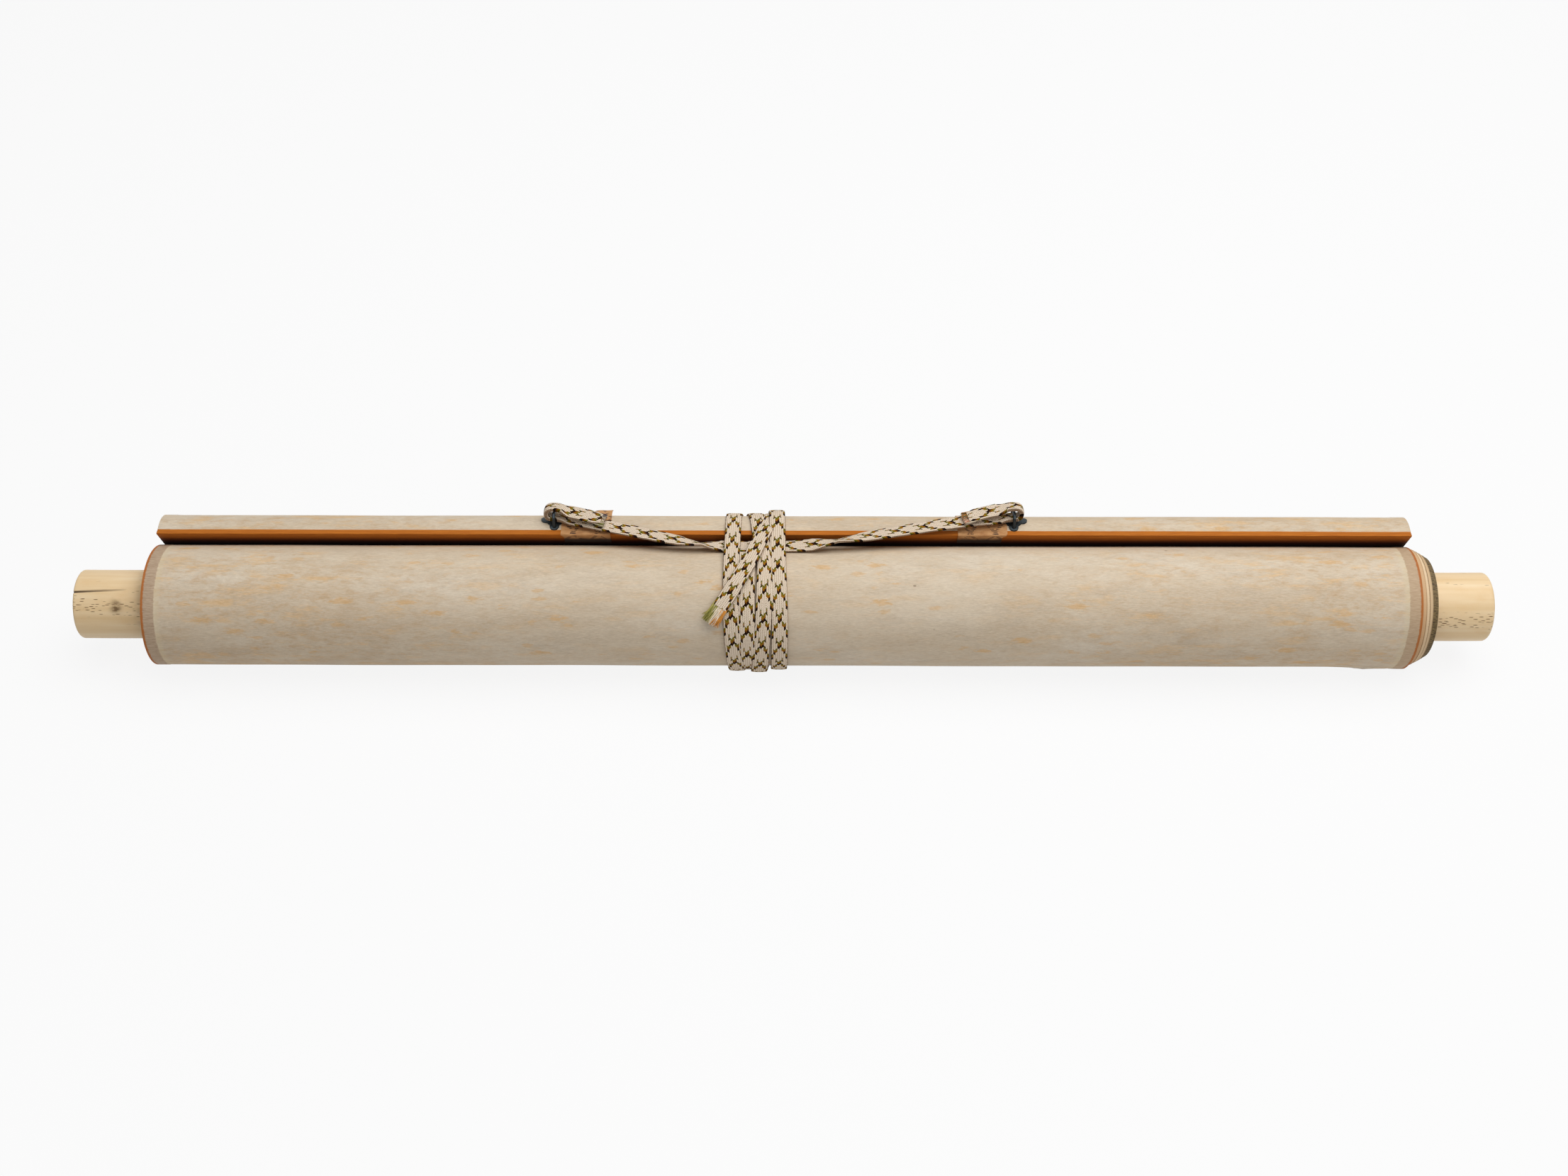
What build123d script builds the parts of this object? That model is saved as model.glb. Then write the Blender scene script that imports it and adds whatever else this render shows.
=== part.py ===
"""A tied hanging scroll, rolled up and lying on a table.

A sheet of paper backed silk is wound on a wooden roller with a bone knob at each end. The outer end
of the sheet is folded into a pocket round a half-round stave, which lies against the roll. Two wire
eyes on the stave hold a flat braided hanging cord, and a second length of the braid ties the roll.
X runs along the roller to the right, Z is up, and the origin is under the roll, on the table.
"""

import os
from math import acos, atan2, cos, degrees, hypot, radians, sin, sqrt, tan

from build123d import *

os.makedirs("parts", exist_ok=True)

# Clearances shared by the pieces
glue_gap = 0.1
seat_gap = 0.05
cut_overrun = 2.0

# Sheet and roll
sheet_width = 545.0
sheet_thickness = 0.55
roll_radius = 26.7
turn_pitch = 0.83
flat_depth = 0.65
turn_squeeze = 0.17
outer_slip = 2.7
end_slip = 7.5
slip_depth = 5.0
slip_power = 0.75

# Roller and knobs
wound_depth = 12.2
tenon_radius = 6.0
tenon_length = 18.0
knob_overhang = 0.5
knob_length = 34.1
knob_edge_bevel = 0.9

# Stave in its pocket, with the direction from the roll's axis to the stave in degrees above +Y
stave_angle = 34.0
stave_radius = 12.75
lip_reach = 0.85
lip_height = 4.4
flat_hinge = 2.0
flat_rise = 2.1

# Wire eyes and their four-lobed seat plates, placed in degrees round the stave from its crown
eyelet_x = 100.0
eyelet_angle = 45.5
plate_lobes = 4
lobe_radius = 2.1
lobe_circle_radius = 4.0
plate_thickness = 0.6
wire_radius = 0.7
eye_width = 7.9
eye_height = 4.0
eye_corner = 1.0
leg_depth = 6.5

# Guard patches folded over the near edge of the stave
patch_width = 21.5
patch_inner_x = 75.5
patch_thickness = 0.3
patch_tuck = 6.0
patch_top_angle = 3.0

# Flat braid of the hanging cord and the tie
cord_width = 6.4
cord_thickness = 1.2
tie_width = 6.95
tie_thickness = 1.4
tie_pressed_thickness = 0.8
tie_turns = 4
tie_right_x = 1.8

# Hollow between stave and roll, where the hanging cord passes inside the tie
hollow_out = -3.5
hollow_gap = 1.7
run_share = 0.45

# Loose end of the tie, laid across the front of the turns
front_tilt = 45.0
tail_top_x = -4.5
tail_top_rise = 41.4
tail_end_x = -29.2
tail_end_rise = -3.9
tail_back_reach = 2.0

# Sizes that follow from those above
half_pitch = turn_pitch / 2
half_width = sheet_width / 2
cover_radius = stave_radius + glue_gap + sheet_thickness
stave_seat = roll_radius - half_pitch + seat_gap
roller_radius = roll_radius - wound_depth
knob_radius = roller_radius + knob_overhang
axis_height = roll_radius - flat_depth + seat_gap + tie_pressed_thickness
plate_radius = lobe_circle_radius + lobe_radius
plate_top = cover_radius + seat_gap + plate_thickness
eye_top = plate_top + eye_height + wire_radius
leg_spread = eye_width / 2 + wire_radius
patch_reach = cover_radius + lip_reach + cut_overrun
tie_inner = seat_gap
tie_outer = tie_inner + tie_thickness
tie_left_x = tie_right_x - tie_turns * tie_width
tie_spread = acos((roll_radius - cover_radius) / stave_seat)
hollow_near = (cover_radius - hollow_gap - hollow_out * cos(tie_spread)) / sin(tie_spread)

# Route of the hanging cord: along the scroll, out from the stave's seat, and to its near edge
cord_route = (
    (-76.7, 8.6, 16.2),
    (-101.6, 14.4, 14.6),
    (-102.0, 12.0, 12.2),
    (-42.0, -2.2, 18.4),
    (-29.0, hollow_out, hollow_near),
    (6.0, hollow_out, hollow_near),
    (19.0, -2.2, 18.4),
    (102.0, 12.0, 12.2),
    (101.7, 14.4, 14.6),
    (76.6, 9.6, 16.0),
)

# The sheet leaves the far corner of the pocket and meets the roll where its outer face is tangent
far_corner = hypot(cover_radius, stave_seat)
corner_turn = atan2(cover_radius, stave_seat)
leave_turn = acos(roll_radius / far_corner)
leave_angle = stave_angle - degrees(corner_turn + leave_turn)
leave_length = sqrt(far_corner**2 - roll_radius**2)

# Half turns counted from the outside in: all, those wider than the knobs, and the one slid furthest
turn_room = roll_radius - sheet_thickness - glue_gap - half_pitch
half_turns = int((turn_room - roller_radius) / half_pitch) + 1
clear_turns = int((turn_room - knob_radius) / half_pitch) + 1
slip_turn = int(slip_depth / half_pitch)


def across_roll(x):
    """Plane across the scroll at x, centred on the roll, with local axes along Y and Z."""
    return Plane(origin=(x, 0, axis_height), x_dir=(0, 1, 0), z_dir=(1, 0, 0))


def across_stave(x):
    """Plane across the stave at x, with local x out from the roll and local y to the near edge."""
    out = Vector(0, cos(radians(stave_angle)), sin(radians(stave_angle)))
    return Plane(origin=Vector(x, 0, axis_height) + out * stave_seat, x_dir=out, z_dir=(1, 0, 0))


def along_eye(x):
    """Plane square to the stave's rounded face at an eye, with its origin on the stave's own centre."""
    lean = radians(stave_angle + eyelet_angle)
    return Plane(origin=across_stave(x).origin, x_dir=(1, 0, 0), z_dir=(0, cos(lean), sin(lean)))


def across_eye(x):
    """Plane of an eye's wire, with local y out of the stave's rounded face."""
    lean = radians(stave_angle + eyelet_angle)
    return Plane(origin=across_stave(x).origin, x_dir=(0, sin(lean), -cos(lean)), z_dir=(1, 0, 0))


def end_shift(turn):
    """How far to the right a half turn has slid: the outer ones lie to the left, those inside stick out."""
    if turn <= slip_turn:
        return (end_slip + outer_slip) * (turn / slip_turn) ** slip_power - outer_slip
    return end_slip * max(clear_turns - turn, 0) / (clear_turns - slip_turn)


def half_circle(centre, radius, start, depth):
    """Half a turn clockwise from start degrees, pressed flat underneath by depth."""
    if depth <= 0:
        CenterArc(centre, radius, start, -180)
        return
    flat_half = degrees(acos((radius - depth) / radius))
    first = CenterArc(centre, radius, start, -90 + flat_half - start)
    last = CenterArc(centre, radius, -90 - flat_half, start - 90 + flat_half)
    Line(first @ 1, last @ 0)


def turn_section(turn):
    """Section of one half turn of the sheet, in the plane across the roll."""
    start = leave_angle - 180 * (turn % 2)
    shift = -half_pitch * (turn % 2)
    centre = (shift * cos(radians(leave_angle)), shift * sin(radians(leave_angle)))
    outer = roll_radius - turn * half_pitch
    inner = outer - sheet_thickness
    depth = (flat_depth - turn_squeeze * turn / 2) * (1 - turn % 2)
    with BuildLine() as outline:
        half_circle(centre, outer, start, depth)
        half_circle(centre, inner, start, depth)
        for end in (start, start - 180):
            PolarLine(
                (centre[0] + inner * cos(radians(end)), centre[1] + inner * sin(radians(end))),
                sheet_thickness,
                end,
            )
    make_face(outline.edges())


def stave_outline(radius, base):
    """Half-round section above a flat base that leans off the roll towards its near edge."""
    edge = degrees(acos(base / radius))
    near_edge = cover_radius + lip_reach
    with BuildLine() as outline:
        crown = CenterArc((0, 0), radius, -edge, 2 * edge)
        Line(crown @ 1, crown @ 0)
    make_face(outline.edges())
    Polygon(
        (base, flat_hinge), (base + flat_rise, near_edge), (base, near_edge), align=None, mode=Mode.SUBTRACT
    )


def pocket_outline(grow):
    """Outside of the pocket with its glued lip on the near edge, grown by a distance."""
    radius = cover_radius + grow
    lip_edge = degrees(acos(lip_height / cover_radius))
    far_edge = degrees(acos(-grow / radius))
    with BuildLine() as outline:
        crown = CenterArc((0, 0), radius, -far_edge, far_edge + lip_edge)
        Polyline(crown @ 1, (flat_rise - grow, radius + lip_reach), (-grow, flat_hinge), crown @ 0)
    make_face(outline.edges())


def leg_holes(x, depth):
    """Holes for the two legs of an eye, through the cover and down into the stave."""
    with BuildSketch(along_eye(x).offset(cover_radius - depth)) as legs:
        with Locations((0, -leg_spread), (0, leg_spread)):
            Circle(wire_radius + glue_gap)
    extrude(legs.sketch, amount=depth + plate_thickness + cut_overrun, mode=Mode.SUBTRACT)


def wrap_outline(grow, floor_height):
    """Outline of a band drawn tight round the roll and the stave, flat where it lies on the table."""
    seat = (stave_seat * cos(radians(stave_angle)), stave_seat * sin(radians(stave_angle)))
    corners = []
    for side in (-1, 1):
        turn = radians(stave_angle) + side * tie_spread
        low = ((roll_radius + grow) * cos(turn), (roll_radius + grow) * sin(turn))
        reach = cover_radius + grow
        high = (seat[0] + reach * cos(turn), seat[1] + reach * sin(turn))
        corners += [low, high] if side < 0 else [high, low]
    Circle(roll_radius + grow)
    with Locations(seat):
        Circle(cover_radius + grow)
    Polygon(*corners, align=None)
    with Locations((0, floor_height - axis_height)):
        Rectangle(
            2 * (roll_radius + grow), roll_radius, align=(Align.CENTER, Align.MAX), mode=Mode.SUBTRACT
        )


# Roller, with a tenon at each end for its knob
with BuildPart() as roller_core:
    with BuildSketch(across_roll(-half_width)):
        Circle(roller_radius)
    extrude(amount=sheet_width)
    with BuildSketch(across_roll(-half_width - tenon_length)):
        Circle(tenon_radius)
    extrude(amount=sheet_width + 2 * tenon_length)

# Bone knobs, turned with a broken outer edge and bored for the tenons
knobs = {}
for side, name in ((-1, "left_knob"), (1, "right_knob")):
    with BuildPart() as knob:
        with BuildSketch(across_roll(side * half_width)):
            Circle(knob_radius)
        extrude(amount=side * knob_length)
        outer_end = knob.faces().sort_by(Axis.X)[0 if side < 0 else -1]
        chamfer(outer_end.edges(), knob_edge_bevel)
        with BuildSketch(across_roll(side * half_width)):
            Circle(tenon_radius + glue_gap)
        extrude(amount=side * (tenon_length + glue_gap), mode=Mode.SUBTRACT)
    knobs[name] = knob

# Sheet: the pocket and its run to the roll, then every half turn where it has slid to
with BuildPart() as scroll_sheet:
    with BuildSketch(across_stave(-half_width)):
        pocket_outline(0)
    extrude(amount=sheet_width)
    leave = radians(leave_angle)
    with BuildSketch(across_roll(-half_width)):
        run = leave_length + sheet_thickness
        out = (cos(leave), sin(leave))
        along = (-sin(leave), cos(leave))
        corners = []
        for radius, reach in (
            (roll_radius, 0),
            (roll_radius, run),
            (roll_radius - sheet_thickness, run),
            (roll_radius - sheet_thickness, 0),
        ):
            corners.append((radius * out[0] + reach * along[0], radius * out[1] + reach * along[1]))
        Polygon(*corners, align=None)
    extrude(amount=sheet_width)
    with BuildSketch(across_stave(-half_width - cut_overrun)):
        stave_outline(cover_radius - sheet_thickness, sheet_thickness)
    extrude(amount=sheet_width + 2 * cut_overrun, mode=Mode.SUBTRACT)
    for turn in range(half_turns):
        with BuildSketch(across_roll(end_shift(turn) - half_width)):
            turn_section(turn)
        extrude(amount=sheet_width)
    for side in (-1, 1):
        leg_holes(side * eyelet_x, leg_depth)

# Half-round stave inside the pocket
with BuildPart() as top_stave:
    with BuildSketch(across_stave(-half_width)):
        stave_outline(stave_radius, sheet_thickness + glue_gap)
    extrude(amount=sheet_width)
    for side in (-1, 1):
        leg_holes(side * eyelet_x, leg_depth)

# Seat plates, bent to the rounded face of the pocket
plates = {}
for side, name in ((-1, "left_eyelet_plate"), (1, "right_eyelet_plate")):
    with BuildPart() as plate:
        with BuildSketch(along_eye(side * eyelet_x)):
            Circle(lobe_circle_radius)
            with PolarLocations(lobe_circle_radius, plate_lobes, start_angle=90):
                Circle(lobe_radius)
        extrude(amount=plate_top + cut_overrun)
        with BuildSketch(across_stave(side * eyelet_x - plate_radius)):
            Circle(plate_top)
            Circle(cover_radius + seat_gap, mode=Mode.SUBTRACT)
        extrude(amount=2 * plate_radius, mode=Mode.INTERSECT)
        leg_holes(side * eyelet_x, leg_depth)
    plates[name] = plate

# Wire eyes, with their legs driven into the stave
staples = {}
for side, name in ((-1, "left_eyelet_staple"), (1, "right_eyelet_staple")):
    with BuildPart() as staple:
        leg_end = cover_radius - leg_depth + glue_gap
        with BuildLine(across_eye(side * eyelet_x)) as wire:
            Polyline(
                (-leg_spread, leg_end),
                (-leg_spread, eye_top - eye_corner),
                (eye_corner - leg_spread, eye_top),
                (leg_spread - eye_corner, eye_top),
                (leg_spread, eye_top - eye_corner),
                (leg_spread, leg_end),
            )
        with BuildSketch(Plane(origin=wire.line @ 0, z_dir=wire.line % 0)):
            Circle(wire_radius)
        sweep(transition=Transition.RIGHT)
    staples[name] = staple

# Guard patches, from under the stave round its near edge to its crown, clear of the seat plates
patches = {}
for side, name in ((-1, "left_guard_patch"), (1, "right_guard_patch")):
    with BuildPart() as patch:
        patch_start = min(side * patch_inner_x, side * (patch_inner_x + patch_width))
        with BuildSketch(across_stave(patch_start)):
            pocket_outline(seat_gap + patch_thickness)
            with BuildLine():
                Polyline(
                    (-cut_overrun, patch_tuck),
                    (sheet_thickness, patch_tuck),
                    (patch_reach, patch_reach * tan(radians(patch_top_angle))),
                    (patch_reach, patch_reach),
                    (-cut_overrun, patch_reach),
                    close=True,
                )
            make_face(mode=Mode.INTERSECT)
        extrude(amount=patch_width)
        with BuildSketch(across_stave(patch_start - cut_overrun)):
            pocket_outline(seat_gap)
        extrude(amount=patch_width + 2 * cut_overrun, mode=Mode.SUBTRACT)
        with BuildSketch(along_eye(side * eyelet_x)):
            Circle(plate_radius + glue_gap)
        extrude(amount=plate_top + cut_overrun, mode=Mode.SUBTRACT)
    patches[name] = patch

# Hanging cord: a tail on top of the cord, round each eye, and down to the hollow under the tie
cord_points = []
for x, out, near in cord_route:
    cord_points.append(across_stave(x).from_local_coords((out, near)))
cord_radii = []
for before, point, after in zip(cord_points, cord_points[1:], cord_points[2:]):
    turn = (point - before).get_angle(after - point)
    shorter_run = min((point - before).length, (after - point).length)
    cord_radii.append(run_share * shorter_run / tan(radians(turn / 2)))
print("hanging cord radii", [round(radius, 1) for radius in cord_radii])
with BuildPart() as hanging_cord:
    with BuildLine() as route:
        FilletPolyline(*cord_points, radius=cord_radii)
    with BuildSketch(Plane(origin=route.line @ 0, x_dir=along_eye(0).z_dir, z_dir=route.line % 0)):
        Rectangle(cord_thickness, cord_width)
    sweep()
print("hanging cord length", round(route.wires()[0].length, 1))

# Tie: the turns round the roll and the stave, side by side, pressed flat where they lie on the table
with BuildPart() as tie_cord:
    with BuildSketch(across_roll(tie_left_x)):
        wrap_outline(tie_outer, 0)
    extrude(amount=tie_turns * tie_width)
    with BuildSketch(across_roll(tie_left_x - cut_overrun)):
        wrap_outline(tie_inner, tie_pressed_thickness)
    extrude(amount=tie_turns * tie_width + 2 * cut_overrun, mode=Mode.SUBTRACT)

# Loose end of the tie, from the crown of the stave across the front of the turns
with BuildPart() as tie_cord_tail:
    tail_inner = tie_outer + seat_gap
    lean = radians(front_tilt)
    front = Plane(origin=(0, 0, axis_height), x_dir=(1, 0, 0), z_dir=(0, -cos(lean), sin(lean)))
    tail_run = hypot(tail_top_x - tail_end_x, tail_top_rise - tail_end_rise)
    side_step = tie_width / 2 * (tail_top_rise - tail_end_rise) / tail_run
    rise_step = tie_width / 2 * (tail_end_x - tail_top_x) / tail_run
    with BuildSketch(across_roll(tail_end_x - tie_width)):
        wrap_outline(tail_inner + tie_thickness, 0)
    extrude(amount=tail_top_x - tail_end_x + 2 * tie_width)
    with BuildSketch(across_roll(tail_end_x - tie_width - cut_overrun)):
        wrap_outline(tail_inner, 0)
    extrude(amount=tail_top_x - tail_end_x + 2 * tie_width + 2 * cut_overrun, mode=Mode.SUBTRACT)
    with BuildSketch(front.offset(-tail_back_reach)):
        Polygon(
            (tail_top_x - side_step, tail_top_rise - rise_step),
            (tail_end_x - side_step, tail_end_rise - rise_step),
            (tail_end_x + side_step, tail_end_rise + rise_step),
            (tail_top_x + side_step, tail_top_rise + rise_step),
            align=None,
        )
    extrude(amount=2 * roll_radius, mode=Mode.INTERSECT)

pieces = {
    "roller_core": roller_core,
    **knobs,
    "scroll_sheet": scroll_sheet,
    "top_stave": top_stave,
    **plates,
    **staples,
    **patches,
    "hanging_cord": hanging_cord,
    "tie_cord": tie_cord,
    "tie_cord_tail": tie_cord_tail,
}
for name, piece in pieces.items():
    piece.part.label = name
    export_step(piece.part, f"parts/{name}.step")
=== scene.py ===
"""Looks of a rolled and tied hanging scroll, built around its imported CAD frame.

Lengths are in millimetres, measured from the roll's own axis, and are turned into metres where a mesh
is made. X runs along the roller to the right, Y away from the camera and Z up.
"""

from math import acos, atan2, cos, degrees, exp, hypot, radians, sin, sqrt, tau

import bmesh
import bpy
import numpy as np
from mathutils import Matrix, Vector


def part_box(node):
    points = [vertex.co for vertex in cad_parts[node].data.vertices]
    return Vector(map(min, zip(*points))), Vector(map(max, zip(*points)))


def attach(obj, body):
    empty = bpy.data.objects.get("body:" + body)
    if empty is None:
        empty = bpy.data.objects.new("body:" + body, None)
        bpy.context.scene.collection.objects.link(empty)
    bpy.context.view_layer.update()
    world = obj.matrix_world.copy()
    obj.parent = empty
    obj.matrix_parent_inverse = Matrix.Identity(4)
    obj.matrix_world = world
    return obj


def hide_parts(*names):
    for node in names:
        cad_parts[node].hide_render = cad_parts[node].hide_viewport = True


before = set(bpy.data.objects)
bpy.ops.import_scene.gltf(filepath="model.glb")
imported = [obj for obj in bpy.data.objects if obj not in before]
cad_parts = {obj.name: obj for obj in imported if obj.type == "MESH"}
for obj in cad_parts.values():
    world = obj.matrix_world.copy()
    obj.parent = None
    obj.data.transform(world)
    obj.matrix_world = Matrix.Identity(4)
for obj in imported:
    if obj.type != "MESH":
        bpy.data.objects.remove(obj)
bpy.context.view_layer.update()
scene = bpy.context.scene

MM = 0.001
knob_low, knob_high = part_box("left_knob")
axis_height = (knob_low.z + knob_high.z) / 2 / MM
knob_radius = (knob_high.z - knob_low.z) / 2 / MM
half_width = -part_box("top_stave")[0].x / MM

# Sheet, roll and stave pocket, as in the CAD model, with the rows across the pocket's broken corner
sheet_thickness = 0.55
roll_radius = 26.7
inner_radius = 14.7
turn_pitch = 0.83
flat_depth = 0.65
turn_squeeze = 0.17
outer_slip = 2.7
end_slip = 7.5
slip_turns = 6.0
slip_power = 0.75
clear_turns = 13.0
run_depth = -0.35
stave_angle = radians(34)
stave_seat = 26.335
cover_radius = 13.4
lip_reach = 0.85
lip_height = 4.4
flat_hinge = 2.0
flat_rise = 2.1
eye_angle = radians(79.5)
lip_rows = 12
paper_slot, silk_slot, rim_slot = range(3)

# Flat braid
cord_width = 6.4
cord_thickness = 1.2
tie_width = 6.95
tie_thickness = 1.4
tie_pressed = 0.8
braid_repeat = 12.2
braid_columns = 8
stitch_pitch = 0.72
stitch_lean = 0.8

# Photograph's camera, with the picture's size in pixels
picture_width = 2212
focal_pixels = 2700
sensor_width = 36.0
view_rise = radians(45)
view_distance = 839.0
view_lift = 7.6
view_roll = radians(0.12)

# Studio: the sky's light on the scene, the floor's grey, its glow to the camera and half its width
sky_light = 0.2
floor_grey = 0.74
floor_glow = 0.88
floor_reach = 8000.0

rng = np.random.default_rng(7)


def srgb(red, green, blue):
    """Linear colour from eight-bit display values."""
    shares = np.array([red, green, blue]) / 255
    linear = np.where(shares <= 0.04045, shares / 12.92, ((shares + 0.055) / 1.055) ** 2.4)
    return (*linear.tolist(), 1.0)


class Nodes:
    """A node tree, with short calls for making and joining its nodes."""

    def __init__(self, tree):
        self.tree = tree

    def node(self, kind, *values, **settings):
        """New node whose first inputs are fed in order."""
        made = self.tree.nodes.new(kind)
        for name, value in settings.items():
            setattr(made, name, value)
        for socket, value in zip(made.inputs, values):
            self.feed(socket, value)
        return made

    def feed(self, socket, value):
        """Link an output to a socket, or set the socket to a plain value."""
        if isinstance(value, bpy.types.NodeSocket):
            self.tree.links.new(value, socket)
        elif value is not None:
            socket.default_value = value

    def math(self, operation, *values):
        return self.node("ShaderNodeMath", *values, operation=operation).outputs[0]

    def seen(self):
        """1 for rays that show the studio: from the camera, mirrored or through glass."""
        rays = self.node("ShaderNodeLightPath").outputs
        direct = self.math("MAXIMUM", rays["Is Camera Ray"], rays["Is Glossy Ray"])
        return self.math("MAXIMUM", direct, rays["Is Transmission Ray"])


class Shader(Nodes):
    """A material, with short calls for the textures and blends that the surfaces here need."""

    def __init__(self, name, **values):
        self.material = bpy.data.materials.new(name)
        self.material.use_nodes = True
        super().__init__(self.material.node_tree)
        self.surface = self.tree.nodes["Principled BSDF"]
        for socket, value in values.items():
            self.surface.inputs[socket.replace("_", " ")].default_value = value

    def place(self, scale):
        """Object coordinates in millimetres, divided by a length along each axis."""
        coordinates = self.node("ShaderNodeTexCoord").outputs["Object"]
        factor = tuple(1 / (MM * length) for length in scale)
        return self.node("ShaderNodeVectorMath", coordinates, factor, operation="MULTIPLY").outputs[0]

    def attribute(self, name, output="Fac"):
        return self.node("ShaderNodeAttribute", attribute_name=name).outputs[output]

    def noise(self, scale, detail=3.0, roughness=0.55, distortion=0.0):
        """Noise whose features are about as long as the scale along each axis."""
        made = self.node("ShaderNodeTexNoise")
        for name, value in (
            ("Vector", self.place(scale)),
            ("Scale", 1.0),
            ("Detail", detail),
            ("Roughness", roughness),
            ("Distortion", distortion),
        ):
            self.feed(made.inputs[name], value)
        return made.outputs["Fac"]

    def cells(self, scale):
        """Distance from the middle of scattered cells, as large as the scale along each axis."""
        made = self.node("ShaderNodeTexVoronoi")
        self.feed(made.inputs["Vector"], self.place(scale))
        self.feed(made.inputs["Scale"], 1.0)
        return made.outputs["Distance"]

    def step(self, value, low, high):
        """Smooth share from 0 at low to 1 at high."""
        made = self.node("ShaderNodeMapRange", interpolation_type="SMOOTHSTEP")
        for name, given in (("Value", value), ("From Min", low), ("From Max", high)):
            self.feed(made.inputs[name], given)
        return made.outputs["Result"]

    def ramp(self, value, *stops):
        """Colour for a value, from stops of a place and a colour."""
        made = self.node("ShaderNodeValToRGB", value)
        elements = made.color_ramp.elements
        for place, _ in stops[2:]:
            elements.new(place)
        for element, (place, colour) in zip(elements, stops):
            element.position = place
            element.color = colour
        return made.outputs["Color"]

    def mix(self, share, first, second, blend="MIX"):
        made = self.node("ShaderNodeMix", data_type="RGBA", blend_type=blend)
        self.feed(made.inputs["Factor"], share)
        self.feed(made.inputs[6], first)
        self.feed(made.inputs[7], second)
        return made.outputs[2]

    def stain(self, colour, share, depth, tint):
        """Colour blended towards a tint by a share of a depth."""
        return self.mix(self.math("MULTIPLY", share, depth), colour, tint)

    def colour(self, value):
        self.feed(self.surface.inputs["Base Color"], value)

    def rough(self, value):
        self.feed(self.surface.inputs["Roughness"], value)

    def bump(self, height, depth):
        """Relief of a depth in millimetres, on top of any relief made before."""
        made = self.node("ShaderNodeBump")
        made.inputs["Distance"].default_value = depth * MM
        self.feed(made.inputs["Height"], height)
        before = self.surface.inputs["Normal"].links
        if before:
            self.feed(made.inputs["Normal"], before[0].from_socket)
        self.feed(self.surface.inputs["Normal"], made.outputs["Normal"])


def paper_ground(look, fibre, along):
    """Colour of the open paper: clouds, foxing that gathers towards the ends, fibres and specks."""
    colour = look.ramp(
        look.noise((75, 20, 20), 5, 0.62),
        (0.32, srgb(194, 173, 145)),
        (0.5, srgb(208, 190, 164)),
        (0.68, srgb(216, 202, 181)),
    )
    grey = look.step(look.noise((26, 8, 8), 6, 0.75), 0.46, 0.72)
    colour = look.stain(colour, grey, 0.5, srgb(178, 160, 137))
    ends = look.step(look.math("ABSOLUTE", along), 80, 200)
    region = look.step(look.noise((70, 26, 26), 3), 0.3, 0.52)
    region = look.math("MULTIPLY", region, look.math("MULTIPLY_ADD", ends, 0.6, 0.4))
    for scale, low, high, depth, tint in (
        ((11, 4.6, 4.6), 0.58, 0.8, 0.42, srgb(184, 150, 106)),
        ((5.2, 2.2, 2.2), 0.62, 0.8, 0.52, srgb(184, 142, 88)),
        ((22, 5.0, 5.0), 0.66, 0.82, 0.7, srgb(216, 170, 104)),
    ):
        foxed = look.math("MULTIPLY_ADD", fibre, 0.3, look.noise(scale, 5, 0.66))
        foxed = look.math("MULTIPLY", look.step(foxed, low, high), region)
        colour = look.stain(colour, foxed, depth, tint)
    for scale, depth in (((30, 9, 9), 0.75), ((19, 7, 7), 0.55)):
        ragged = look.math("MULTIPLY_ADD", look.noise((4, 1.2, 1.2), 4, 0.7), 0.5, look.cells(scale))
        colour = look.stain(colour, look.step(ragged, 0.45, 0.33), depth, srgb(208, 158, 86))
    threads = look.ramp(fibre, (0.3, srgb(146, 124, 98)), (0.7, srgb(240, 230, 212)))
    colour = look.mix(0.3, colour, threads)
    speck = look.step(look.cells((30, 17, 17)), 0.03, 0.015)
    return look.stain(colour, speck, 0.6, srgb(96, 74, 52))


def paper_border(look, colour, rib, edge, turn, along):
    """Add the ribbed border along each edge of the outer turn, with its pale fringe and brown rim."""
    bordered = look.step(turn, -0.6, -0.4)
    ragged = look.math("MULTIPLY_ADD", look.noise((2, 1.2, 1.2), 3), 0.9, edge)
    fringe, band, rim = (
        look.math("MULTIPLY", look.step(ragged, open_edge, full_edge), bordered)
        for open_edge, full_edge in ((9.0, 7.2), (6.3, 5.7), (1.7, 1.2))
    )
    colour = look.stain(colour, fringe, 0.35, srgb(210, 194, 158))
    ribbed = look.ramp(rib, (0.3, srgb(156, 130, 104)), (0.7, srgb(192, 169, 144)))
    ribbed = look.stain(ribbed, look.step(along, -100, 100), 0.3, srgb(196, 166, 126))
    colour = look.mix(band, colour, ribbed)
    return look.stain(colour, rim, 0.95, srgb(166, 94, 28))


def paper_rings(look, colour, rib, edge, turn):
    """Add the inner turns that stick out at the right end: each edge lined, the innermost grimy."""
    inner = look.ramp(
        look.math("MULTIPLY_ADD", rib, 0.12, look.math("MULTIPLY_ADD", turn, 0.3, -0.36)),
        (0.0, srgb(184, 140, 94)),
        (0.3, srgb(212, 180, 140)),
        (0.6, srgb(226, 202, 166)),
        (0.95, srgb(186, 152, 108)),
    )
    line = look.step(look.math("MULTIPLY_ADD", rib, 0.5, edge), 0.85, 0.3)
    strong = look.step(look.math("PINGPONG", turn, 1.0), 0.35, 0.6)
    line = look.math("MULTIPLY", line, look.math("MULTIPLY_ADD", strong, 0.6, 0.35))
    inner = look.mix(line, inner, srgb(122, 88, 50))
    colour = look.mix(look.step(turn, 0.95, 1.05), colour, inner)
    grime = look.ramp(rib, (0.38, srgb(58, 42, 20)), (0.62, srgb(132, 110, 70)))
    return look.mix(look.step(turn, 3.9, 4.3), colour, grime)


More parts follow.
